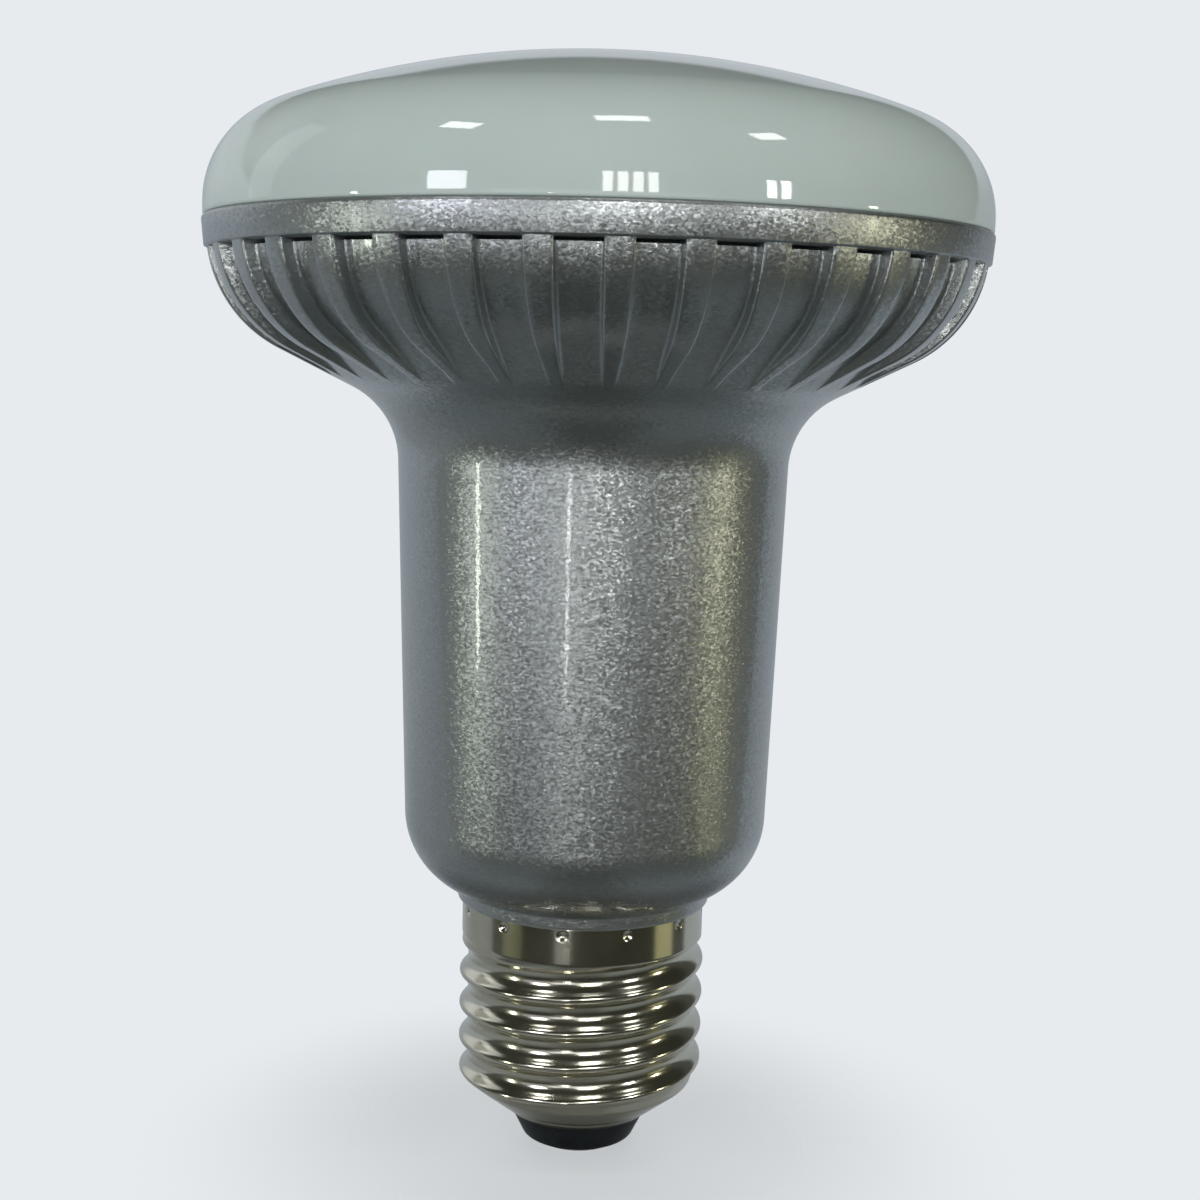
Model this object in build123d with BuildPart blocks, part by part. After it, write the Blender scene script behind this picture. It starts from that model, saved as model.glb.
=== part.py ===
from build123d import *
from math import atan2, ceil, cos, hypot, radians, sin, tan
import os

# Reflector lamp with a screw cap: axis on Z, cap down, lowest point of the centre contact at Z = 0.
# All sizes are in millimetres and all angles in degrees.

# Centre contact and insulator
contact_diameter = 9.0
contact_flat_diameter = 6.0
contact_height = 0.8
contact_rim_height = 0.3
rivet_diameter = 3.0
insulator_tip_diameter = 11.6
insulator_tip_fillet = 0.9
insulator_height = 3.0
insulator_flange_height = 1.4
insulator_clearance = 0.1

# Screw shell
shell_end_diameter = 14.8
shell_cone_height = 4.4
shell_sheet = 0.6
cap_height = 27.2
skirt_diameter = 25.7
skirt_height = 4.0
thread_crest_diameter = 26.1
thread_root_diameter = 24.3
thread_pitch = 25.4 / 7
thread_crest_width = 0.9
thread_root_width = 0.7
thread_start_height = 6.26
crimp_count = 12
crimp_angle = 21.2
crimp_width = 1.2
crimp_floor_width = 0.5
crimp_depth = 0.3
crimp_drop = 0.75

# Neck of the housing
spigot_clearance = 0.1
spigot_foot_gap = 4.0
collar_diameter = 26.8
collar_height = 1.3
shoulder_height = 8.0
neck_low_diameter = 38.2
neck_high_diameter = 40.8
neck_length = 42.1
throat_radius = 8.4

# Head of the housing
head_diameter = 80.0
band_height = 3.1
band_draft = 0.25
band_lip = 0.15
band_edge = 0.25
bowl_rise = 6.0
bowl_diameter = 65.0
rim_rise = 9.7
rib_inset = 0.35

# Grooves that leave the ribs standing
groove_count = 36
groove_angle = 7.6
groove_width = 4.2
groove_draft = 1.5
groove_depth = 1.5
groove_floor_angle = 36.0
groove_floor_run = 8.2
groove_tip_diameter = 54.0
slot_height = 0.5
slot_depth = 1.2

# Diffuser
dome_height = 16.9
dome_inset = 0.15
dome_lip = 1.3
dome_edge_radius = 10.2
dome_ledge = 3.35
dome_spigot_depth = 2.0
dome_clearance = 0.15
recess_depth = 2.2

# Heights, added up from the contact to the band
insulator_z = contact_height
shell_end_z = insulator_z + insulator_height
cone_top_z = shell_end_z + shell_cone_height
skirt_low_z = cap_height - skirt_height
skirt_floor_z = skirt_low_z + shell_sheet
collar_top_z = cap_height + collar_height
neck_low_z = collar_top_z + shoulder_height
throat_z = neck_low_z + neck_length
bowl_z = throat_z + bowl_rise
band_low_z = bowl_z + rim_rise
band_top_z = band_low_z + band_height
apex_z = band_top_z + dome_height

# Radii
contact_r = contact_diameter / 2
contact_flat_r = contact_flat_diameter / 2
rivet_r = rivet_diameter / 2
insulator_tip_r = insulator_tip_diameter / 2
shell_end_r = shell_end_diameter / 2
crest_r = thread_crest_diameter / 2
root_r = thread_root_diameter / 2
skirt_r = skirt_diameter / 2
bore_r = root_r - shell_sheet
skirt_bore_r = skirt_r - shell_sheet
spigot_r = bore_r - spigot_clearance
spigot_root_r = skirt_bore_r - spigot_clearance
collar_r = collar_diameter / 2
neck_low_r = neck_low_diameter / 2
neck_high_r = neck_high_diameter / 2
head_r = head_diameter / 2
band_low_r = head_r - band_draft
rib_r = band_low_r - rib_inset
bowl_r = bowl_diameter / 2
dome_r = head_r - dome_inset
dome_spigot_r = dome_r - dome_ledge
recess_r = dome_spigot_r + dome_clearance

os.makedirs("parts", exist_ok=True)

# Lower cone of the shell: slope, and the height of its inner face above its outer face
cone_slope = shell_cone_height / (crest_r - shell_end_r)
cone_sheet_rise = shell_sheet * hypot(1, cone_slope)


def cone_z(radius):
    """Height of the shell's outer cone at a radius."""
    return shell_end_z + cone_slope * (radius - shell_end_r)


# Centre contact: a flat rivet head with a rounded rim, and its shank
shank_top_z = shell_end_z + cone_sheet_rise + insulator_flange_height
with BuildPart() as centre_contact:
    with BuildSketch(Plane.XZ):
        with BuildLine():
            contact_face = Line((0, 0), (contact_flat_r, 0))
            contact_edge = TangentArc(contact_face @ 1, (contact_r, contact_rim_height), tangent=(1, 0))
            Polyline(
                contact_edge @ 1,
                (contact_r, insulator_z),
                (rivet_r, insulator_z),
                (rivet_r, shank_top_z),
                (0, shank_top_z),
                (0, 0),
            )
        make_face()
    revolve(axis=Axis.Z)
centre_contact.part.label = "centre_contact"
export_step(centre_contact.part, "parts/centre_contact.step")

# Insulator: a tapered plug that comes out of the shell's end, with a flange on the shell's inner cone
rivet_bore_r = rivet_r + insulator_clearance
plug_r = shell_end_r - insulator_clearance
flange_r = bore_r - insulator_clearance
flange_low_z = cone_z(flange_r) + cone_sheet_rise
plug_top_z = cone_z(shell_end_r) + cone_sheet_rise
flange_top_z = flange_low_z + insulator_flange_height
with BuildPart() as insulator:
    with BuildSketch(Plane.XZ):
        with BuildLine():
            tip = FilletPolyline(
                (rivet_bore_r, insulator_z),
                (insulator_tip_r, insulator_z),
                (plug_r, shell_end_z),
                radius=insulator_tip_fillet,
            )
            Polyline(
                tip @ 1,
                (plug_r, plug_top_z),
                (shell_end_r, plug_top_z),
                (flange_r, flange_low_z),
                (flange_r, flange_top_z),
                (rivet_bore_r, flange_top_z),
                tip @ 0,
            )
        make_face()
    revolve(axis=Axis.Z)
insulator.part.label = "insulator"
export_step(insulator.part, "parts/insulator.step")

# One turn of the valley between two thread crests, right-hand, opening outwards past the crest
valley_start_z = thread_start_height - thread_pitch / 2
valley_turns = ceil((skirt_low_z + thread_pitch / 2 - valley_start_z) / thread_pitch)
valley_mouth = thread_pitch - thread_crest_width
valley_spread = (valley_mouth - thread_root_width) / (crest_r - root_r)
valley_outer_r = crest_r + thread_crest_width / valley_spread / 2
valley_outer_width = valley_mouth + thread_crest_width / 2
with BuildPart() as valley:
    with BuildLine() as valley_path:
        Helix(thread_pitch, thread_pitch, root_r, center=(0, 0, valley_start_z))
    with BuildSketch(Plane.XZ):
        with BuildLine():
            Polyline(
                (root_r, valley_start_z - thread_root_width / 2),
                (valley_outer_r, valley_start_z - valley_outer_width / 2),
                (valley_outer_r, valley_start_z + valley_outer_width / 2),
                (root_r, valley_start_z + thread_root_width / 2),
                close=True,
            )
        make_face()
    sweep(path=valley_path.wires()[0], is_frenet=True)

# One dent of the crimp that holds the skirt on the housing
crimp_floor_edge = (crimp_width - crimp_floor_width) / 2
with BuildPart() as crimp:
    with Locations((skirt_r - crimp_depth / 2, 0, cap_height - crimp_drop)):
        Wedge(
            crimp_width,
            crimp_depth,
            crimp_width,
            crimp_floor_edge,
            crimp_floor_edge,
            crimp_width - crimp_floor_edge,
            crimp_width - crimp_floor_edge,
            rotation=(0, 0, 90),
        )

# Screw shell: rolled metal with an end cone, the thread and a plain skirt, crimped at its upper edge
inner_cone_z = cone_z(bore_r) + cone_sheet_rise
with BuildPart() as screw_shell:
    with BuildSketch(Plane.XZ):
        with BuildLine():
            Polyline(
                (0, shell_end_z),
                (shell_end_r, shell_end_z),
                (crest_r, cone_top_z),
                (crest_r, skirt_low_z),
                (0, skirt_low_z),
                close=True,
            )
        make_face()
    revolve(axis=Axis.Z)
    for turn in range(valley_turns):
        with Locations((0, 0, turn * thread_pitch)):
            add(valley.part, mode=Mode.SUBTRACT)
    with BuildSketch(Plane.XY.offset(skirt_low_z)):
        Circle(skirt_r)
    extrude(amount=skirt_height)
    with BuildSketch(Plane.XZ):
        with BuildLine():
            Polyline(
                (0, shell_end_z),
                (shell_end_r, shell_end_z),
                (shell_end_r, shell_end_z + cone_sheet_rise),
                (bore_r, inner_cone_z),
                (bore_r, skirt_floor_z),
                (skirt_bore_r, skirt_floor_z),
                (skirt_bore_r, cap_height),
                (0, cap_height),
                close=True,
            )
        make_face()
    revolve(axis=Axis.Z, mode=Mode.SUBTRACT)
    with PolarLocations(0, crimp_count, start_angle=crimp_angle):
        add(crimp.part, mode=Mode.SUBTRACT)
screw_shell.part.label = "screw_shell"
export_step(screw_shell.part, "parts/screw_shell.step")

# One groove: a floor that curves up to a slit under the band, and walls that close towards the axis
bowl_slope = bowl_rise / (bowl_r - neck_high_r)
groove_top_r = rib_r - groove_depth
slot_r = groove_top_r - slot_depth
slot_low_z = band_low_z - slot_height
groove_tip_r = groove_tip_diameter / 2
groove_tip_z = throat_z + bowl_slope * (groove_tip_r - neck_high_r)
groove_outer_r = head_r + groove_depth
floor_way = Vector(1, 0).rotate(Axis.Z, groove_floor_angle)
floor_tip = Vector(groove_tip_r, groove_tip_z)
floor_foot = floor_tip - floor_way * groove_depth
wall_spread = tan(radians(groove_draft))
half_foot = groove_width / 2 - (rib_r - floor_foot.X) * wall_spread
half_outer = groove_width / 2 + (groove_outer_r - rib_r) * wall_spread
with BuildPart() as groove:
    with BuildSketch(Plane.XZ):
        with BuildLine():
            floor_line = Line(floor_foot, floor_tip + floor_way * groove_floor_run)
            floor_bend = TangentArc(floor_line @ 1, (groove_top_r, slot_low_z), tangent=floor_line % 1)
            Polyline(
                floor_bend @ 1,
                (slot_r, band_low_z),
                (groove_outer_r, band_low_z),
                (groove_outer_r, floor_foot.Y),
                floor_foot,
            )
        make_face()
    extrude(amount=groove_width, both=True)
    with BuildSketch(Plane.XY.offset(floor_foot.Y)):
        with BuildLine():
            Polyline(
                (floor_foot.X, -half_foot),
                (groove_outer_r, -half_outer),
                (groove_outer_r, half_outer),
                (floor_foot.X, half_foot),
                close=True,
            )
        make_face()
    extrude(amount=band_low_z - floor_foot.Y, mode=Mode.INTERSECT)

# Housing: spigot in the shell, collar, neck, flared bowl with ribs, and the band that holds the diffuser
spigot_low_z = flange_top_z + spigot_foot_gap
spigot_root_z = skirt_floor_z + spigot_clearance
recess_z = band_top_z - recess_depth
with BuildPart() as housing:
    with BuildSketch(Plane.XZ):
        with BuildLine():
            Polyline(
                (0, recess_z),
                (0, spigot_low_z),
                (spigot_r, spigot_low_z),
                (spigot_r, spigot_root_z),
                (spigot_root_r, spigot_root_z),
                (spigot_root_r, cap_height),
                (collar_r, cap_height),
                (collar_r, collar_top_z),
            )
            flank = FilletPolyline(
                (neck_low_r, neck_low_z),
                (neck_high_r, throat_z),
                (bowl_r, bowl_z),
                radius=throat_radius,
            )
            TangentArc(flank @ 0, (collar_r, collar_top_z), tangent=-(flank % 0))
            rim_bend = TangentArc(flank @ 1, (rib_r, band_low_z), tangent=flank % 1)
            Polyline(
                rim_bend @ 1,
                (band_low_r, band_low_z + band_lip),
                (head_r, band_top_z - band_edge),
                (head_r - band_edge, band_top_z),
                (recess_r, band_top_z),
                (recess_r, recess_z),
                (0, recess_z),
            )
        make_face()
    revolve(axis=Axis.Z)
    with PolarLocations(0, groove_count, start_angle=groove_angle):
        add(groove.part, mode=Mode.SUBTRACT)
housing.part.label = "housing"
export_step(housing.part, "parts/housing.step")

# Diffuser: a shallow dome with a rounded edge, and a spigot that drops into the housing's recess
edge_centre_r = dome_r - dome_edge_radius
edge_centre_z = band_top_z + dome_lip
edge_to_apex = apex_z - edge_centre_z
crown_radius = (edge_centre_r**2 + edge_to_apex**2 - dome_edge_radius**2) / (
    2 * (edge_to_apex - dome_edge_radius)
)
join_angle = atan2(edge_centre_z - apex_z + crown_radius, edge_centre_r)
join_r = edge_centre_r + dome_edge_radius * cos(join_angle)
join_z = edge_centre_z + dome_edge_radius * sin(join_angle)
with BuildPart() as diffuser:
    with BuildSketch(Plane.XZ):
        with BuildLine():
            rim = Polyline(
                (0, apex_z),
                (0, band_top_z - dome_spigot_depth),
                (dome_spigot_r, band_top_z - dome_spigot_depth),
                (dome_spigot_r, band_top_z),
                (dome_r, band_top_z),
                (dome_r, edge_centre_z),
            )
            dome_edge = TangentArc(rim @ 1, (join_r, join_z), tangent=(0, 1))
            TangentArc(dome_edge @ 1, (0, apex_z), tangent=dome_edge % 1)
        make_face()
    revolve(axis=Axis.Z)
diffuser.part.label = "diffuser"
export_step(diffuser.part, "parts/diffuser.step")
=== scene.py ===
from math import atan2, cos, exp, hypot, pi, radians, sin, tan

import bmesh
import bpy
from mathutils import Matrix, Vector


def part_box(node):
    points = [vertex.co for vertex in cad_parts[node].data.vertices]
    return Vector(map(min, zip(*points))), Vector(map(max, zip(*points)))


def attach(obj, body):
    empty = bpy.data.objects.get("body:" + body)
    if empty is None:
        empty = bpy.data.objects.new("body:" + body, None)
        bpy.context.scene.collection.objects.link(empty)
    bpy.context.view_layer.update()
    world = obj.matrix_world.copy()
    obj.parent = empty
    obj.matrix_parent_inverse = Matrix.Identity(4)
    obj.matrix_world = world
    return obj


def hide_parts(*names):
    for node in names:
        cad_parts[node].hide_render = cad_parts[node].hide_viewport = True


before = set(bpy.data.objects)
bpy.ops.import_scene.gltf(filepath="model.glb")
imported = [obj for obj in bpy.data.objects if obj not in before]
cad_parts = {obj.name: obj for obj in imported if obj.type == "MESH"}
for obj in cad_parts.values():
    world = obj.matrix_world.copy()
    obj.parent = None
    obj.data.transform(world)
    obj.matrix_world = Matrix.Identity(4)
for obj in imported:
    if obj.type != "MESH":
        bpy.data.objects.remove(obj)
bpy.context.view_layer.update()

# Sizes are in millimetres and angles in degrees, unless a name says metres
METRES = 0.001


def reach(node):
    """Outer radius, lowest and highest point of a CAD node."""
    low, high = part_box(node)
    return high[0] / METRES, low[2] / METRES, high[2] / METRES


contact_r, contact_z, shank_top_z = reach("centre_contact")
flange_r, insulator_z, flange_top_z = reach("insulator")
crest_r, shell_end_z, cap_top_z = reach("screw_shell")
head_r, spigot_low_z, band_top_z = reach("housing")
dome_r, dome_low_z, apex_z = reach("diffuser")

# Centre contact and insulator
contact_flat_r = 3.0
contact_rim_height = 0.3
rivet_r = 1.5
rivet_bore_r = 1.6
insulator_tip_r = 5.8
insulator_tip_fillet = 0.9
plug_r = 7.3
flange_height = 1.4

# Screw shell
shell_end_r = 7.4
cone_height = 4.4
sheet = 0.6
skirt_r = 12.85
skirt_height = 4.0
root_r = 12.15
thread_pitch = 25.4 / 7
thread_start_z = 6.26
thread_flank = 46.0
crest_share = 0.25
bead_height = 0.95
bead_width = 0.16
bead_depth = 0.14
edge_fillet = 0.06
crimp_count = 12
crimp_angle = 21.2
crimp_r = 0.62
crimp_depth = 0.25
crimp_drop = 0.75
shell_end_edge = 0.02

# Where the thread runs out below the skirt, meets the end cone and steps up to the skirt
run_out_low = 1.6
run_out_high = 0.5
run_out_inset = 0.05
run_out_blend = 0.4
cone_blend = 0.5
skirt_step_low = 0.2
skirt_step_high = 0.25

# Housing
spigot_r = 11.45
spigot_root_r = 12.15
collar_r = 13.4
collar_height = 1.3
collar_fillet = 0.35
collar_top_fillet = 0.2
shoulder_height = 8.0
neck_low_r = 19.1
neck_high_r = 20.4
neck_length = 42.1
throat_radius = 8.4
bowl_rise = 6.0
bowl_r = 32.5
band_height = 3.1
band_draft = 0.25
band_lip = 0.15
band_round = 0.4
rib_inset = 0.35
recess_r = 36.65
recess_depth = 2.2

# Grooves that leave the ribs standing
groove_count = 36
groove_angle = 7.6
groove_width = 4.2
groove_draft = 1.5
groove_depth = 1.5
groove_floor_angle = 36.0
groove_floor_run = 8.2
groove_tip_r = 27.0
slot_height = 0.36
slot_depth = 1.2
rib_fillet = 0.24
floor_fillet = 0.32
crease = 0.06

# Painted shade: a dark paint colour under the shoulder, just above the collar, that dims its reflections
# there; as heights above the collar
painted_shade_low = 0.2
painted_shade_full = 2.5
painted_shade_top = 5.0

# Diffuser
dome_lip = 1.3
dome_edge_radius = 10.2
dome_ledge = 3.35
dome_foot_fillet = 0.25

# Fineness of the meshes: columns round the axis, and steps along a line, an arc or the thread
dome_columns = 320
dome_foot_steps = 5
dome_lip_steps = 3
dome_edge_steps = 24
dome_crown_steps = 28
groove_run_steps = 8
groove_bend_steps = 40
groove_floor_parts = (0, 0.5, 1)
floor_fillet_angles = (30, 58, 82)
rib_fillet_angles = (8, 32, 60, 90)
collar_steps = 4
collar_top_steps = 5
shoulder_steps = 18
neck_steps = 5
throat_steps = 14
bowl_steps = 16
rim_steps = 32
band_lip_steps = 2
band_round_steps = 6
column_ease_gap = 0.2
column_ease_run = 2.0
shell_columns = 460
cone_rows = 34
thread_rows = 110
skirt_rows = 4
crimp_rows = 14
skirt_foot_zone = 0.4
crimp_zone = 1.6
skirt_edge_steps = 4
insulator_columns = 160
insulator_tip_steps = 10
contact_columns = 128
contact_edge_steps = 8

# Angles above which an edge is shaded sharp
plain_sharp_angle = 40
housing_sharp_angle = 38
shell_sharp_angle = 50

# Heights that follow from the frame
cone_top_z = shell_end_z + cone_height
skirt_low_z = cap_top_z - skirt_height
collar_top_z = cap_top_z + collar_height
neck_low_z = collar_top_z + shoulder_height
painted_shade_low_z = collar_top_z + painted_shade_low
painted_shade_full_z = collar_top_z + painted_shade_full
painted_shade_top_z = collar_top_z + painted_shade_top
throat_z = neck_low_z + neck_length
bowl_z = throat_z + bowl_rise
band_low_z = band_top_z - band_height
slot_low_z = band_low_z - slot_height
thread_slope = radians(thread_flank)
thread_rounds = (thread_pitch / 2 * tan(thread_slope) - crest_r + root_r) / (
    sin(thread_slope) * tan(thread_slope) + cos(thread_slope) - 1
)
cone_sheet_height = sheet * hypot(1, cone_height / (crest_r - shell_end_r))
crest_round = thread_rounds * crest_share
root_round = thread_rounds * (1 - crest_share)
band_low_r = head_r - band_draft
rib_r = band_low_r - rib_inset


# Profiles: points are (radius, height)

def line(start, end, steps):
    """Points on a straight stretch, without its start."""
    start, end = Vector(start), Vector(end)
    return [start.lerp(end, i / steps) for i in range(1, steps + 1)]


def tangent_arc(start, end, heading, steps):
    """Points on the arc that leaves start along heading and passes through end, without its start."""
    start, end, heading = Vector(start), Vector(end), Vector(heading).normalized()
    side = Vector((-heading.y, heading.x))
    chord = end - start
    radius = chord.length_squared / (2 * chord.dot(side))
    centre = start + side * radius
    first = start - centre
    turn = 2 * atan2(heading.cross(chord), heading.dot(chord))
    return [centre + Matrix.Rotation(turn * i / steps, 2) @ first for i in range(1, steps + 1)]


def fillet(before, corner, after, radius, steps):
    """Points on the arc that rounds a corner, both ends included."""
    before, corner, after = Vector(before), Vector(corner), Vector(after)
    inward = (corner - before).normalized()
    outward = (after - corner).normalized()
    half_turn = atan2(inward.cross(outward), inward.dot(outward)) / 2
    setback = radius * abs(tan(half_turn))
    start = corner - inward * setback
    return [start] + tangent_arc(start, corner + outward * setback, inward, steps)


# Meshes

def finish_piece(name, mesh, node, material, sharp_angle):
    """Makes an object of a mesh, shades it, and puts it in the place of a CAD node."""
    mesh.transform(Matrix.Scale(METRES, 4))
    mesh.shade_smooth()
    mesh.set_sharp_from_angle(angle=radians(sharp_angle))
    piece = bpy.data.objects.new(name, mesh)
    bpy.context.scene.collection.objects.link(piece)
    piece.data.materials.append(material)
    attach(piece, "root")
    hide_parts(node)


def skin(name, rows, closed):
    """Mesh over rows of points that go round the axis. A row of one point is a pole."""
    built = bmesh.new()
    rings = [[built.verts.new(point) for point in row] for row in rows]
    pairs = list(zip(rings, rings[1:]))
    if closed:
        pairs.append((rings[-1], rings[0]))
    for low, high in pairs:
        count = max(len(low), len(high))
        for i in range(count):
            j = (i + 1) % count
            if len(low) == 1:
                built.faces.new((low[0], high[j], high[i]))
            elif len(high) == 1:
                built.faces.new((low[i], low[j], high[0]))
            else:
                built.faces.new((low[i], low[j], high[j], high[i]))
    bmesh.ops.recalc_face_normals(built, faces=built.faces)
    mesh = bpy.data.meshes.new(name)
    built.to_mesh(mesh)
    built.free()
    return mesh


def polar(radius, angle, height):
    """Point at a radius and an angle round the axis, and a height."""
    return (radius * cos(angle), radius * sin(angle), height)


def lathe_rows(profile, columns):
    """Rows of points for a profile turned round the axis."""
    rows = []
    for radius, height in profile:
        if radius == 0:
            rows.append([(0, 0, height)])
        else:
            rows.append([polar(radius, 2 * pi * i / columns, height) for i in range(columns)])
    return rows


# Materials

def new_material(name):
    """A material with its node tree, its shader and the object's own coordinates."""
    material = bpy.data.materials.new(name)
    material.use_nodes = True
    tree = material.node_tree
    shader = tree.nodes["Principled BSDF"]
    place = tree.nodes.new("ShaderNodeTexCoord")
    return material, tree, shader, place.outputs["Object"]


def noise(tree, place, scale, detail, roughness=0.5, distortion=0):
    """Noise texture, its scale in cells per metre."""
    node = tree.nodes.new("ShaderNodeTexNoise")
    node.inputs["Scale"].default_value = scale
    node.inputs["Detail"].default_value = detail
    node.inputs["Roughness"].default_value = roughness
    node.inputs["Distortion"].default_value = distortion
    tree.links.new(place, node.inputs["Vector"])
    return node


def ramp(tree, value, limits, colours):
    """Colours by a value, from the first colour at the lower limit to the second at the upper one."""
    node = tree.nodes.new("ShaderNodeValToRGB")
    for element, limit, colour in zip(node.color_ramp.elements, limits, colours):
        element.position = limit
        element.color = (*colour, 1)
    tree.links.new(value, node.inputs["Fac"])
    return node.outputs["Color"]


def spread(tree, value, low, high):
    """A value of 0 to 1 brought to a range."""
    node = tree.nodes.new("ShaderNodeMapRange")
    node.inputs["To Min"].default_value = low
    node.inputs["To Max"].default_value = high
    tree.links.new(value, node.inputs["Value"])
    return node.outputs["Result"]


def share(tree, value, low, high):
    """Smooth rise from 0 to 1 while a value goes from low to high."""
    node = tree.nodes.new("ShaderNodeMapRange")
    node.interpolation_type = "SMOOTHSTEP"
    node.inputs["From Min"].default_value = low
    node.inputs["From Max"].default_value = high
    tree.links.new(value, node.inputs["Value"])
    return node.outputs["Result"]


def mix_colours(tree, factor, low, high):
    """Mix of two colours, each a plain colour or an output."""
    node = tree.nodes.new("ShaderNodeMixRGB")
    tree.links.new(factor, node.inputs["Fac"])
    for name, colour in (("Color1", low), ("Color2", high)):
        if isinstance(colour, tuple):
            node.inputs[name].default_value = (*colour, 1)
        else:
            tree.links.new(colour, node.inputs[name])
    return node.outputs["Color"]


def product(tree, first, second):
    """Product of two values."""
    node = tree.nodes.new("ShaderNodeMath")
    node.operation = "MULTIPLY"
    tree.links.new(first, node.inputs[0])
    tree.links.new(second, node.inputs[1])
    return node.outputs["Value"]


def bump(tree, value, height, strength):
    """Normals from a height map, its height in metres."""
    node = tree.nodes.new("ShaderNodeBump")
    node.inputs["Strength"].default_value = strength
    node.inputs["Distance"].default_value = height
    tree.links.new(value, node.inputs["Height"])
    return node.outputs["Normal"]


def flake_normals(tree, place, scale, lean):
    """Normals that lean to random sides, as metal flakes in paint do."""
    sides = noise(tree, place, scale=scale, detail=1, distortion=0.8)
    leaning = tree.nodes.new("ShaderNodeVectorMath")
    leaning.operation = "MULTIPLY_ADD"
    leaning.inputs[1].default_value = (lean, lean, lean)
    tree.links.new(sides.outputs["Color"], leaning.inputs[0])
    surface = tree.nodes.new("ShaderNodeNewGeometry")
    centred = tree.nodes.new("ShaderNodeVectorMath")
    centred.operation = "SUBTRACT"
    centred.inputs[1].default_value = (lean / 2, lean / 2, lean / 2)
    tree.links.new(surface.outputs["Normal"], centred.inputs[0])
    tree.links.new(centred.outputs["Vector"], leaning.inputs[2])
    unit = tree.nodes.new("ShaderNodeVectorMath")
    unit.operation = "NORMALIZE"
    tree.links.new(leaning.outputs["Vector"], unit.inputs[0])
    return unit.outputs["Vector"]


def set_inputs(shader, **values):
    """Plain values of a shader's inputs, with underscores for the spaces in their names."""
    for name, value in values.items():
        shader.inputs[name.replace("_", " ")].default_value = value


# Limits of a noise's values between which its two colours lie
stain_limits = (0.3, 0.7)
flake_limits = (0.36, 0.62)

# Colours of the materials, darker and paler
opal_colours = ((0.432, 0.49, 0.466), (0.452, 0.51, 0.486))
body_colours = ((0.45, 0.475, 0.48), (0.49, 0.515, 0.52))
band_colours = ((0.45, 0.475, 0.485), (0.51, 0.535, 0.545))
nickel_colours = ((0.64, 0.615, 0.51), (0.73, 0.70, 0.59))
plastic_colours = ((0.004, 0.005, 0.006), (0.009, 0.011, 0.012))
contact_colours = ((0.52, 0.49, 0.43), (0.68, 0.65, 0.58))
# Painted shade under the shoulder, just above the collar
painted_shade_colour = (0.18, 0.185, 0.18)

# Squeeze of the paint's grain along its height
flake_squeeze = 1.7


def opal_plastic():
    """Opal plastic with faint clouds and a slightly uneven, shiny skin."""
    material, tree, shader, place = new_material("opal_plastic")
    cloud = noise(tree, place, scale=90, detail=3).outputs["Fac"]
    tree.links.new(ramp(tree, cloud, stain_limits, opal_colours), shader.inputs["Base Color"])
    peel = noise(tree, place, scale=420, detail=2).outputs["Fac"]
    tree.links.new(bump(tree, peel, height=0.000004, strength=0.5), shader.inputs["Normal"])
    set_inputs(shader, Roughness=0.04, IOR=1.5, Subsurface_Weight=0.12, Subsurface_Scale=0.002)
    return material


def silver_paint():
    """Silver paint with flakes under a clear coat, which is thinner on the band."""
    material, tree, shader, place = new_material("silver_paint")
    split = tree.nodes.new("ShaderNodeSeparateXYZ")
    tree.links.new(place, split.inputs["Vector"])
    height = split.outputs["Z"]
    band_share = share(tree, height, slot_low_z * METRES, band_low_z * METRES)
    squeeze = tree.nodes.new("ShaderNodeMapping")
    squeeze.inputs["Scale"].default_value = (1, 1, flake_squeeze)
    tree.links.new(place, squeeze.inputs["Vector"])
    grain = squeeze.outputs["Vector"]
    cloud = noise(tree, grain, scale=2000, detail=1, distortion=1.0).outputs["Fac"]
    body_colour = ramp(tree, cloud, flake_limits, body_colours)
    band_colour = ramp(tree, cloud, flake_limits, band_colours)
    colour = mix_colours(tree, band_share, body_colour, band_colour)
    # Painted shade: the paint colour darkens under the shoulder, just above the collar, to dim the
    # reflections there
    above_collar = share(tree, height, collar_top_z * METRES, painted_shade_low_z * METRES)
    under_shoulder = share(tree, height, painted_shade_top_z * METRES, painted_shade_full_z * METRES)
    painted_shade_share = product(tree, above_collar, under_shoulder)
    colour = mix_colours(tree, painted_shade_share, colour, painted_shade_colour)
    tree.links.new(colour, shader.inputs["Base Color"])
    tree.links.new(spread(tree, cloud, low=0.42, high=0.32), shader.inputs["Roughness"])
    tree.links.new(flake_normals(tree, grain, scale=2600, lean=0.5), shader.inputs["Normal"])
    peel = noise(tree, place, scale=1700, detail=2).outputs["Fac"]
    tree.links.new(bump(tree, peel, height=0.000015, strength=0.6), shader.inputs["Coat Normal"])
    tree.links.new(spread(tree, band_share, low=0.7, high=0.15), shader.inputs["Coat Weight"])
    set_inputs(shader, Metallic=1.0, Coat_Roughness=0.04, Coat_IOR=1.5)
    return material


def bright_nickel():
    """Bright nickel plate with slight stains."""
    material, tree, shader, place = new_material("bright_nickel")
    stain = noise(tree, place, scale=260, detail=4, roughness=0.6, distortion=0.4).outputs["Fac"]
    tree.links.new(ramp(tree, stain, stain_limits, nickel_colours), shader.inputs["Base Color"])
    tree.links.new(spread(tree, stain, low=0.12, high=0.2), shader.inputs["Roughness"])
    set_inputs(shader, Metallic=1.0)
    return material


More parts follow.
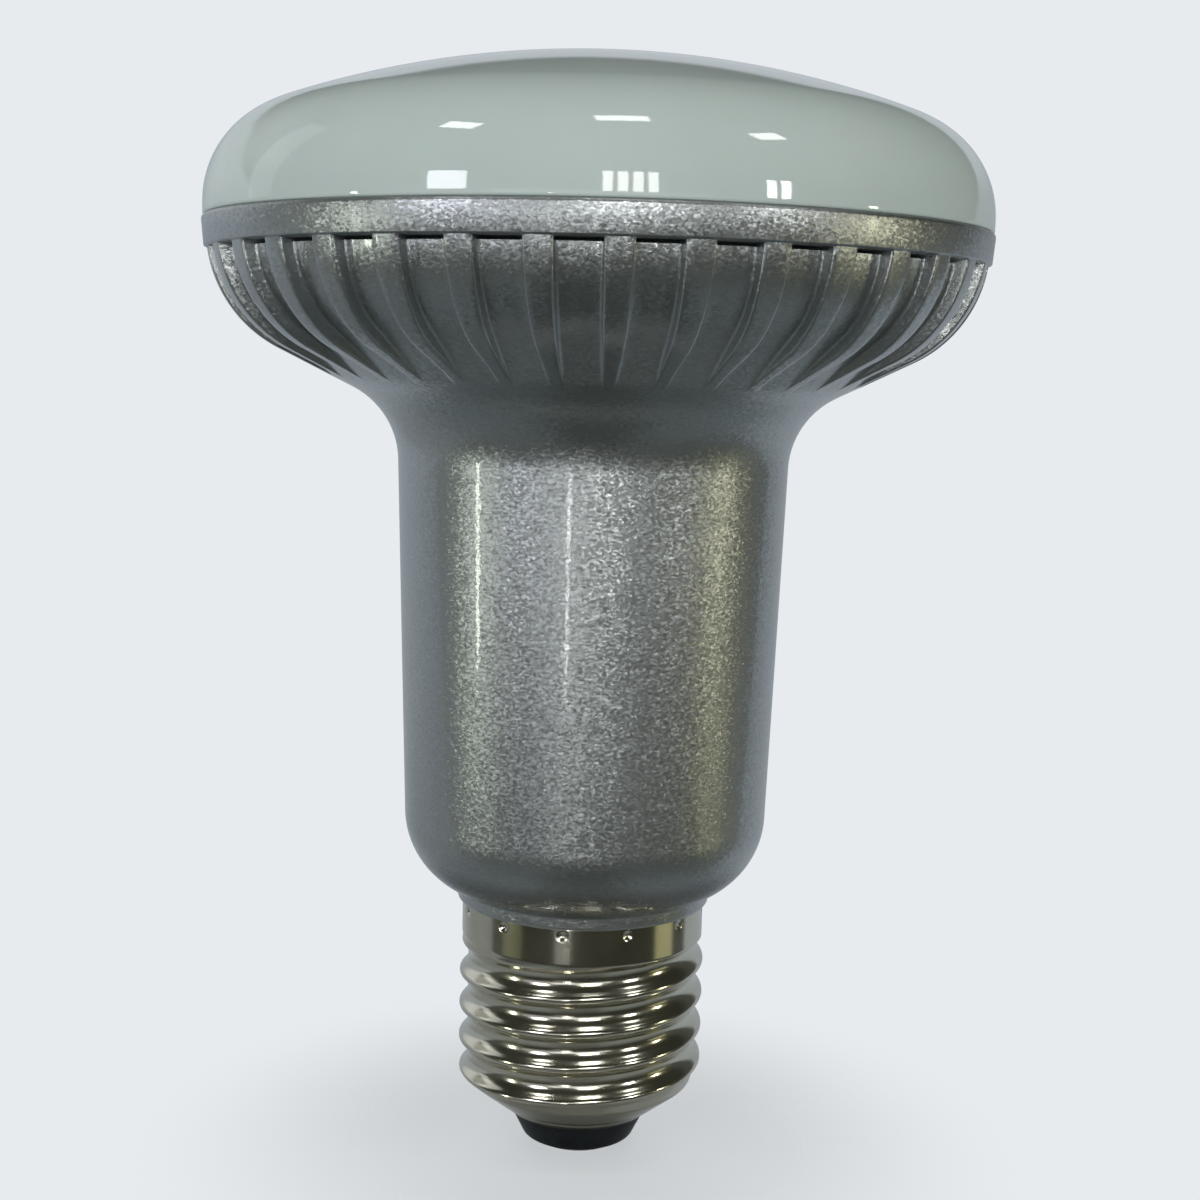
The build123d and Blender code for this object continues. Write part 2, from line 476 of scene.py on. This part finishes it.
def black_plastic():
    """Black plastic with a fine grain."""
    material, tree, shader, place = new_material("black_plastic")
    grain = noise(tree, place, scale=1500, detail=3, roughness=0.6).outputs["Fac"]
    tree.links.new(ramp(tree, grain, stain_limits, plastic_colours), shader.inputs["Base Color"])
    tree.links.new(spread(tree, grain, low=0.32, high=0.44), shader.inputs["Roughness"])
    tree.links.new(bump(tree, grain, height=0.00001, strength=0.4), shader.inputs["Normal"])
    set_inputs(shader, Specular_IOR_Level=0.25)
    return material


def contact_metal():
    """Dull contact metal with stains."""
    material, tree, shader, place = new_material("contact_metal")
    stain = noise(tree, place, scale=600, detail=4, roughness=0.6, distortion=0.6).outputs["Fac"]
    tree.links.new(ramp(tree, stain, stain_limits, contact_colours), shader.inputs["Base Color"])
    tree.links.new(spread(tree, stain, low=0.2, high=0.38), shader.inputs["Roughness"])
    set_inputs(shader, Metallic=1.0)
    return material


# Diffuser: a shallow dome with a rounded edge, on a spigot in the housing

def diffuser_profile():
    """Outline of the dome and its spigot, from the middle of its foot to the apex."""
    edge_r = dome_r - dome_edge_radius
    edge_z = band_top_z + dome_lip
    rise = apex_z - edge_z
    crown = (edge_r**2 + rise**2 - dome_edge_radius**2) / (2 * (rise - dome_edge_radius))
    join = atan2(edge_z - apex_z + crown, edge_r)
    join_point = (edge_r + dome_edge_radius * cos(join), edge_z + dome_edge_radius * sin(join))
    spigot = dome_r - dome_ledge
    points = [Vector((0, dome_low_z)), Vector((spigot, dome_low_z)), Vector((spigot, band_top_z))]
    points += fillet(points[-1], (dome_r, band_top_z), (dome_r, edge_z), dome_foot_fillet, dome_foot_steps)
    points += line(points[-1], (dome_r, edge_z), dome_lip_steps)
    points += tangent_arc((dome_r, edge_z), join_point, (0, 1), dome_edge_steps)
    points += tangent_arc(join_point, (0, apex_z), (-sin(join), cos(join)), dome_crown_steps)
    points[-1].x = 0
    return points


def make_diffuser(material):
    mesh = skin("diffuser", lathe_rows(diffuser_profile(), dome_columns), False)
    finish_piece("opal_dome", mesh, "diffuser", material, plain_sharp_angle)


# Housing: rows that follow its outline, with columns that follow the walls of the grooves

def groove_floor():
    """Points along the floor of a groove, from below its tip to the band."""
    slope = bowl_rise / (bowl_r - neck_high_r)
    tip = Vector((groove_tip_r, throat_z + slope * (groove_tip_r - neck_high_r)))
    way = Vector((cos(radians(groove_floor_angle)), sin(radians(groove_floor_angle))))
    bend = tip + way * groove_floor_run
    end = (rib_r - groove_depth, slot_low_z)
    return [tip] + line(tip, bend, groove_run_steps) + tangent_arc(bend, end, way, groove_bend_steps)


def depth_below(point, normal, floor):
    """Distance from a point of the outline to the floor of the groove, straight into the body."""
    for start, end in zip(floor, floor[1:]):
        a = (start - point).cross(normal)
        b = (end - point).cross(normal)
        if a * b <= 0 and a != b:
            return max(0, (point - start.lerp(end, a / (a - b))).dot(normal))
    return 0


def half_groove(radius, depth):
    """Places from the middle of a groove to the middle of a rib, as (distance aside, depth)."""
    half = groove_width / 2 - (rib_r - radius) * tan(radians(groove_draft))
    flat = min(1, depth / (rib_fillet + floor_fillet))
    places = [(part * (half - floor_fillet), depth) for part in groove_floor_parts]
    for angle in floor_fillet_angles:
        rise = floor_fillet * (1 - cos(radians(angle)))
        places.append((half - floor_fillet * (1 - sin(radians(angle))), depth - flat * rise))
    for angle in rib_fillet_angles:
        aside = half + rib_fillet * (1 - cos(radians(angle)))
        places.append((aside, flat * rib_fillet * (1 - sin(radians(angle)))))
    rib_middle = pi * radius / groove_count
    places.append(((half + rib_fillet + rib_middle) / 2, 0))
    places.append((rib_middle, 0))
    return places


def housing_row(point, normal, depth, ease):
    """One row round the housing. Ease of 1 spaces its columns evenly, and 0 follows the groove walls."""
    places = half_groove(point.x, depth)
    last = len(places) - 1
    rib_middle = places[last][0]
    eased = []
    for i, (aside, deep) in enumerate(places):
        eased.append((aside + (rib_middle * i / last - aside) * ease, deep))
    period = [(-aside, deep) for aside, deep in reversed(eased[1:])] + eased[:-1]
    row = []
    for groove in range(groove_count):
        middle = radians(groove_angle) + 2 * pi * groove / groove_count
        for aside, deep in period:
            place = point - normal * deep
            row.append(polar(place.x, middle + aside / point.x, place.y))
    return row


def housing_rows():
    """Rows of points over the housing, from the foot of its spigot to the recess for the dome."""
    floor = groove_floor()
    upward = Vector((0, 1))
    rows = [[(0, 0, spigot_low_z)]]

    def plain(points):
        rows.extend(housing_row(Vector(point), upward, 0, 1) for point in points)

    step_z = skirt_low_z + sheet
    collar_foot = (spigot_root_r, cap_top_z)
    collar_low = (collar_r, cap_top_z)
    plain([(spigot_r, spigot_low_z), (spigot_r, step_z), (spigot_root_r, step_z), collar_foot])
    plain(fillet(collar_foot, collar_low, (collar_r, collar_top_z), collar_fillet, collar_steps))
    neck_low = Vector((neck_low_r, neck_low_z))
    neck_high = Vector((neck_high_r, throat_z))
    bowl = Vector((bowl_r, bowl_z))
    neck_way = (neck_high - neck_low).normalized()
    shoulder = tangent_arc(neck_low, (collar_r, collar_top_z), -neck_way, shoulder_steps)
    foot = shoulder[-1] + (shoulder[-2] - shoulder[-1]).normalized() * collar_top_fillet
    plain(fillet(collar_low, shoulder[-1], foot, collar_top_fillet, collar_top_steps))
    plain([p for p in reversed([neck_low] + shoulder) if p.y > foot.y])
    throat = fillet(neck_low, neck_high, bowl, throat_radius, throat_steps)
    plain(line(neck_low, throat[0], neck_steps)[:-1])
    plain(throat)
    bowl_way = (bowl - neck_high).normalized()
    cone = line(throat[-1], bowl, bowl_steps)
    rim = tangent_arc(bowl, (rib_r, band_low_z), bowl_way, rim_steps)
    rib_lean = (rim[-1].x - rim[-2].x) / (rim[-1].y - rim[-2].y)
    outline = [throat[-1]] + cone + [p for p in rim if p.y < slot_low_z - crease]
    for before, point, after in zip(outline, outline[1:], outline[2:] + outline[-1:]):
        way = (after - before).normalized()
        normal = Vector((way.y, -way.x))
        ease = min(1, max(0, (groove_tip_r - column_ease_gap - point.x) / column_ease_run))
        rows.append(housing_row(point, normal, depth_below(point, normal, floor), ease))
    slot_rows = [
        (slot_low_z, rib_r - groove_depth),
        (band_low_z - crease, rib_r - groove_depth - slot_depth),
        (band_low_z, rib_r),
    ]
    for z, floor_r in slot_rows:
        point = Vector((rib_r - rib_lean * (band_low_z - z), z))
        rows.append(housing_row(point, Vector((1, 0)), max(0, point.x - floor_r), 0))
    lip = Vector((band_low_r, band_low_z + band_lip))
    edge = Vector((head_r, band_top_z))
    band = fillet((rib_r, band_low_z), lip, edge, crease, band_lip_steps)
    band += fillet(lip, edge, (recess_r, band_top_z), band_round, band_round_steps)
    rows.extend(housing_row(point, upward, 0, 0) for point in band)
    rows.append(housing_row(Vector((recess_r, band_top_z)), upward, 0, 1))
    rows.append(housing_row(Vector((recess_r, band_top_z - recess_depth)), upward, 0, 1))
    rows.append([(0, 0, band_top_z - recess_depth)])
    return rows


def make_housing(material):
    mesh = skin("housing", housing_rows(), False)
    finish_piece("silver_body", mesh, "housing", material, housing_sharp_angle)


# Screw shell: the rolled thread as a smooth wave that fades into the end cone and the skirt

def smooth_step(low, high, value):
    """Smooth rise from 0 to 1 while a value goes from low to high."""
    part = min(1, max(0, (value - low) / (high - low)))
    return part * part * (3 - 2 * part)


def smooth_low(a, b, blend):
    """The lower of two values, rounded where they cross."""
    part = max(blend - abs(a - b), 0) / blend
    return min(a, b) - part * part * blend / 4


def shell_radius(angle, height):
    """Outer radius of the shell at an angle and a height."""
    turns = (height - thread_start_z) / thread_pitch - angle / (2 * pi)
    from_crest = abs(turns - round(turns)) * thread_pitch
    from_root = thread_pitch / 2 - from_crest
    if from_crest < crest_round * sin(thread_slope):
        thread = crest_r - crest_round + (crest_round**2 - from_crest**2) ** 0.5
    elif from_root < root_round * sin(thread_slope):
        thread = root_r + root_round - (root_round**2 - from_root**2) ** 0.5
    else:
        flank_top = crest_r - crest_round * (1 - 1 / cos(thread_slope))
        thread = flank_top - from_crest * tan(thread_slope)
    run_out = smooth_step(skirt_low_z - run_out_low, skirt_low_z - run_out_high, height)
    thread += (smooth_low(thread, skirt_r - run_out_inset, run_out_blend) - thread) * run_out
    cone = shell_end_r + (height - shell_end_z) * (crest_r - shell_end_r) / cone_height
    bead = bead_depth * exp(-(((height - shell_end_z - bead_height) / bead_width) ** 2))
    body = smooth_low(thread, cone, cone_blend) - bead
    step = smooth_step(skirt_low_z - skirt_step_low, skirt_low_z + skirt_step_high, height)
    return body + (skirt_r - body) * step - crimp_dent(angle, height)


def crimp_dent(angle, height):
    """Depth of the crimp dents at an angle and a height."""
    pitch = 2 * pi / crimp_count
    turn = (angle - radians(crimp_angle) + pitch / 2) % pitch - pitch / 2
    away = hypot(turn * skirt_r, height - cap_top_z + crimp_drop) / crimp_r
    return crimp_depth * (1 - away**2) ** 2 if away < 1 else 0


def shell_rows():
    """Rows of points up the outside of the shell and down its inside."""
    angles = [2 * pi * i / shell_columns for i in range(shell_columns)]
    heights = [shell_end_z + shell_end_edge]
    stretches = [
        (cone_top_z, cone_rows),
        (skirt_low_z + skirt_foot_zone, thread_rows),
        (cap_top_z - crimp_zone, skirt_rows),
        (cap_top_z - edge_fillet, crimp_rows),
    ]
    for high, count in stretches:
        low = heights[-1]
        heights += [low + (high - low) * i / count for i in range(1, count + 1)]
    rows = [[polar(shell_radius(a, z), a, z) for a in angles] for z in heights]
    inner_end_z = shell_end_z + cone_sheet_height
    bore_r = root_r - sheet
    bore_low_z = inner_end_z + (bore_r - shell_end_r) * cone_height / (crest_r - shell_end_r)
    skirt_top = (skirt_r, cap_top_z)
    skirt_bore = Vector((skirt_r - sheet, cap_top_z))
    edge = fillet((skirt_r, skirt_low_z), skirt_top, skirt_bore, edge_fillet, skirt_edge_steps)
    inside = edge[1:] + [
        skirt_bore,
        Vector((skirt_r - sheet, skirt_low_z + sheet)),
        Vector((bore_r, skirt_low_z + sheet)),
        Vector((bore_r, bore_low_z)),
        Vector((shell_end_r, inner_end_z)),
        Vector((shell_end_r - shell_end_edge, shell_end_z)),
    ]
    return rows + lathe_rows(inside, shell_columns)


def make_shell(material):
    mesh = skin("screw_shell", shell_rows(), True)
    finish_piece("nickel_cap", mesh, "screw_shell", material, shell_sharp_angle)


# Insulator and centre contact

def make_insulator(material):
    plug_top_z = shell_end_z + cone_sheet_height
    bore = Vector((rivet_bore_r, insulator_z))
    tip = (insulator_tip_r, insulator_z)
    rounding = fillet(bore, tip, (plug_r, shell_end_z), insulator_tip_fillet, insulator_tip_steps)
    profile = [bore] + rounding + [
        Vector((plug_r, shell_end_z)),
        Vector((plug_r, plug_top_z)),
        Vector((shell_end_r, plug_top_z)),
        Vector((flange_r, flange_top_z - flange_height)),
        Vector((flange_r, flange_top_z)),
        Vector((rivet_bore_r, flange_top_z)),
    ]
    mesh = skin("insulator", lathe_rows(profile, insulator_columns), True)
    finish_piece("black_plug", mesh, "insulator", material, plain_sharp_angle)


def make_contact(material):
    flat_end = Vector((contact_flat_r, contact_z))
    rim = tangent_arc(flat_end, (contact_r, contact_z + contact_rim_height), (1, 0), contact_edge_steps)
    profile = [Vector((0, contact_z)), flat_end] + rim + [
        Vector((contact_r, insulator_z)),
        Vector((rivet_r, insulator_z)),
        Vector((rivet_r, shank_top_z)),
        Vector((0, shank_top_z)),
    ]
    mesh = skin("centre_contact", lathe_rows(profile, contact_columns), False)
    finish_piece("contact_rivet", mesh, "centre_contact", material, plain_sharp_angle)


make_diffuser(opal_plastic())
make_housing(silver_paint())
make_shell(bright_nickel())
make_insulator(black_plastic())
make_contact(contact_metal())


# Studio: pale surroundings, a small pale floor, a dim room that only reflections show, and the lamps

# What the lamps look at, and their distance from it
target_metres = Vector((0, 0, 0.065))
lamp_metres = 1.2
soft_lamp_metres = 1.4

# Width of one lamp in a row as a share of its step
bar_share = 0.65

# Pale surroundings
world_colour = (0.80, 0.83, 0.86)

# Floor: fully there up to the inner radius, apart from its clear share, and gone at the outer one
floor_inner_metres = 0.014
floor_outer_metres = 0.05
floor_clear_share = 0.6
floor_colour = (0.7, 0.7, 0.7)
floor_segments = 128

# Room: its size, and the opening behind the object as half an angle
room_radius_metres = 1.6
room_opening = 9
room_segments = 96
room_rings = 64

# Colours of the room: front walls, rear walls, the backdrop by its parts, and the ground
room_dark = (0.033, 0.035, 0.027)
room_rear = (0.07, 0.075, 0.07)
room_fill = (0.38, 0.39, 0.38)
room_pale = (0.37, 0.41, 0.45)
room_high = (0.58, 0.62, 0.68)
room_left = (0.68, 0.71, 0.75)
room_left_low = (0.26, 0.28, 0.295)
room_low = (0.037, 0.044, 0.038)
room_low_side = (0.145, 0.168, 0.172)

# The way to the middle of the backdrop
backdrop_turn = -170
backdrop_tilt = -35

# Limits between which one colour gives way to the next, as parts of a unit vector
left_limits = (-0.3, -0.75)
rear_limits = (-0.05, 0.15)
backdrop_limits = (0.35, 0.39)
low_side_limits = (0.18, 0.44)

# The same as heights in degrees
fill_limits = (12, 22)
high_limits = (8, 18)
left_high_limits = (1, 9)
left_low_limits = (-11, -17)
backdrop_top_limits = (27, 24)
ground_limits = (-52, -26)


def direction(azimuth, elevation):
    """Unit vector, azimuth counted from the camera's side towards its right."""
    a, e = radians(azimuth), radians(elevation)
    return Vector((sin(a) * cos(e), -cos(a) * cos(e), sin(e)))


def panel(name, azimuth, elevation, width, height, radiance, colour, distance=lamp_metres):
    """Area lamp that looks at the object, its size in degrees as the object sees it."""
    data = bpy.data.lights.new(name, "AREA")
    data.shape = "RECTANGLE"
    data.size = 2 * distance * tan(radians(width / 2))
    data.size_y = 2 * distance * tan(radians(height / 2))
    data.color = colour
    data.energy = radiance * pi * data.size * data.size_y
    lamp = bpy.data.objects.new(name, data)
    away = direction(azimuth, elevation)
    lamp.location = target_metres + away * distance
    lamp.rotation_euler = away.to_track_quat("Z", "Y").to_euler()
    lamp.visible_camera = False
    bpy.context.scene.collection.objects.link(lamp)
    return lamp


def lamp_row(name, count, azimuth, elevation, width, height, radiance, colour):
    """Upright lamps side by side, the size of the row in degrees as the object sees it."""
    step = width / count
    first = azimuth - width / 2 + step / 2
    for i in range(count):
        panel(f"{name}_{i}", first + step * i, elevation, step * bar_share, height, radiance, colour)


def plain_shader(name, shader_kind, colour):
    """Material with one plain shader."""
    material = bpy.data.materials.new(name)
    material.use_nodes = True
    tree = material.node_tree
    tree.nodes.clear()
    shader = tree.nodes.new(shader_kind)
    shader.inputs["Color"].default_value = (*colour, 1)
    output = tree.nodes.new("ShaderNodeOutputMaterial")
    tree.links.new(shader.outputs[0], output.inputs["Surface"])
    return material


def climb(tree, height, limits):
    """Share of the way between two heights in degrees, as the object sees them."""
    return share(tree, height, sin(radians(limits[0])), sin(radians(limits[1])))


def room_colour(tree):
    """Colours of the room's walls by the side on which the object sees them."""
    place = tree.nodes.new("ShaderNodeTexCoord")
    aim = tree.nodes.new("ShaderNodeVectorMath")
    aim.operation = "NORMALIZE"
    tree.links.new(place.outputs["Object"], aim.inputs[0])
    back = tree.nodes.new("ShaderNodeVectorMath")
    back.operation = "DOT_PRODUCT"
    back.inputs[1].default_value = direction(backdrop_turn, backdrop_tilt)
    tree.links.new(aim.outputs["Vector"], back.inputs[0])
    split = tree.nodes.new("ShaderNodeSeparateXYZ")
    tree.links.new(aim.outputs["Vector"], split.inputs["Vector"])
    aside = tree.nodes.new("ShaderNodeMath")
    aside.operation = "ABSOLUTE"
    tree.links.new(split.outputs["X"], aside.inputs[0])
    height = split.outputs["Z"]
    left_share = share(tree, split.outputs["X"], *left_limits)
    rear_share = share(tree, back.outputs["Value"], *rear_limits)
    walls = mix_colours(tree, rear_share, room_dark, room_rear)
    rear_left = product(tree, left_share, rear_share)
    walls = mix_colours(tree, product(tree, rear_left, climb(tree, height, fill_limits)), walls, room_fill)
    backdrop = mix_colours(tree, climb(tree, height, high_limits), room_pale, room_high)
    left_high = product(tree, left_share, climb(tree, height, left_high_limits))
    backdrop = mix_colours(tree, left_high, backdrop, room_left)
    left_low = product(tree, left_share, climb(tree, height, left_low_limits))
    backdrop = mix_colours(tree, left_low, backdrop, room_left_low)
    side_share = share(tree, back.outputs["Value"], *backdrop_limits)
    backdrop_share = product(tree, side_share, climb(tree, height, backdrop_top_limits))
    walls = mix_colours(tree, backdrop_share, walls, backdrop)
    low_share = share(tree, aside.outputs["Value"], *low_side_limits)
    ground = mix_colours(tree, low_share, room_low, room_low_side)
    return mix_colours(tree, climb(tree, height, ground_limits), ground, walls)


def make_room():
    """Walls of a dim room round the object, open at the back, which only reflections and shadows see."""
    built = bmesh.new()
    bmesh.ops.create_uvsphere(
        built, u_segments=room_segments, v_segments=room_rings, radius=room_radius_metres
    )
    bmesh.ops.rotate(built, verts=built.verts, matrix=Matrix.Rotation(pi / 2, 3, "X"))
    limit = cos(radians(room_opening)) * room_radius_metres
    gone = [v for v in built.verts if v.co.y > limit]
    bmesh.ops.delete(built, geom=gone, context="VERTS")
    mesh = bpy.data.meshes.new("room")
    built.to_mesh(mesh)
    built.free()
    material = plain_shader("room", "ShaderNodeEmission", room_dark)
    tree = material.node_tree
    tree.links.new(room_colour(tree), tree.nodes["Emission"].inputs["Color"])
    room = bpy.data.objects.new("room", mesh)
    room.location = target_metres
    room.data.materials.append(material)
    room.visible_camera = False
    bpy.context.scene.collection.objects.link(room)


def make_floor():
    """Round pale floor that fades into the surroundings."""
    built = bmesh.new()
    bmesh.ops.create_circle(built, cap_ends=True, segments=floor_segments, radius=floor_outer_metres)
    mesh = bpy.data.meshes.new("floor")
    built.to_mesh(mesh)
    built.free()
    floor = bpy.data.objects.new("floor", mesh)
    material = plain_shader("floor", "ShaderNodeBsdfDiffuse", floor_colour)
    tree = material.node_tree
    place = tree.nodes.new("ShaderNodeTexCoord")
    length = tree.nodes.new("ShaderNodeVectorMath")
    length.operation = "LENGTH"
    fade = tree.nodes.new("ShaderNodeMapRange")
    fade.interpolation_type = "SMOOTHSTEP"
    fade.inputs["From Min"].default_value = floor_inner_metres
    fade.inputs["From Max"].default_value = floor_outer_metres
    fade.inputs["To Min"].default_value = floor_clear_share
    clear = tree.nodes.new("ShaderNodeBsdfTransparent")
    mix = tree.nodes.new("ShaderNodeMixShader")
    tree.links.new(place.outputs["Object"], length.inputs[0])
    tree.links.new(length.outputs["Value"], fade.inputs["Value"])
    tree.links.new(fade.outputs["Result"], mix.inputs["Fac"])
    tree.links.new(tree.nodes["Diffuse BSDF"].outputs[0], mix.inputs[1])
    tree.links.new(clear.outputs[0], mix.inputs[2])
    tree.links.new(mix.outputs[0], tree.nodes["Material Output"].inputs["Surface"])
    floor.data.materials.append(material)
    bpy.context.scene.collection.objects.link(floor)


def make_world():
    """Pale surroundings, which the camera sees behind the object."""
    world = bpy.data.worlds.new("surroundings")
    world.use_nodes = True
    world.node_tree.nodes["Background"].inputs["Color"].default_value = (*world_colour, 1)
    bpy.context.scene.world = world


make_world()
make_floor()
make_room()

# Colours of the lamps
white_lamp = (1.0, 1.0, 0.97)
warm_lamp = (1.0, 0.95, 0.68)
gold_lamp = (1.0, 1.0, 0.57)
cool_lamp = (0.92, 0.97, 1.0)
lilac_lamp = (0.93, 0.93, 1.0)
green_lamp = (0.93, 1.0, 0.87)

# Lamps: a row's count, then azimuth, elevation, width and height in degrees, radiance and colour
panel("lamp_low_left", -41, 9, 11, 9.5, 13, lilac_lamp)
lamp_row("lamp_low_middle", 4, 8, 9.5, 16, 12, 13, white_lamp)
lamp_row("lamp_low_right", 2, 48.5, 8, 8.5, 9.5, 20, white_lamp)
panel("lamp_high_left", -53, 53, 8.5, 5.5, 12, white_lamp)
panel("lamp_high_middle", 10, 67, 10.5, 5.5, 12, white_lamp)
panel("lamp_high_right", 60, 49, 7.5, 5.5, 12, white_lamp)
panel("window_left", -69, -5, 2.2, 15, 19, green_lamp)
panel("window_right", 79, -1, 3.2, 8, 23, warm_lamp)
panel("window_side", -107, 21.5, 12, 37, 0.6, cool_lamp)
panel("slit_front", -13, -8, 1.3, 12, 20, white_lamp)
panel("slit_low", -18, -19, 13, 7, 0.25, cool_lamp)
panel("soft_front", 0, 0, 84, 9, 0.98, cool_lamp, soft_lamp_metres)
panel("soft_left", -38, -4, 40, 15, 0.38, lilac_lamp, soft_lamp_metres)
panel("glow_left", -69, -18, 20, 9, 0.1, gold_lamp)
panel("glow_right", 84, -18, 20, 9, 0.38, gold_lamp)

# Fills, which light matt surfaces and stay out of reflections
fills = [
    panel("fill_left", -54, 0, 50, 40, 2.35, cool_lamp),
    panel("fill_right", 54, 0, 50, 40, 1.8, cool_lamp),
    panel("fill_back", 180, 12, 50, 40, 3.0, cool_lamp),
    panel("fill_top", 0, 88, 50, 40, 1.0, cool_lamp),
]
for fill in fills:
    fill.visible_glossy = False


# Camera at the photograph's place, from a fit of the outline

camera_metres = (0, -0.19595, 0.08428)
camera_pitch = -7.322
camera_yaw = 0.309
camera_roll = 1.428
focal_pixels = 1876.7
image_pixels = 1200
sensor_width = 36
clip_start_metres = 0.01

camera_data = bpy.data.cameras.new("camera")
camera_data.sensor_width = sensor_width
camera_data.lens = sensor_width * focal_pixels / image_pixels
camera_data.clip_start = clip_start_metres
camera = bpy.data.objects.new("camera", camera_data)
turned = Matrix.Rotation(radians(-camera_yaw), 4, "Z")
tilted = Matrix.Rotation(radians(90 + camera_pitch), 4, "X")
rolled = Matrix.Rotation(radians(camera_roll), 4, "Z")
camera.matrix_world = Matrix.Translation(camera_metres) @ turned @ tilted @ rolled
bpy.context.scene.collection.objects.link(camera)
bpy.context.scene.camera = camera
bpy.context.scene.view_settings.view_transform = "Standard"
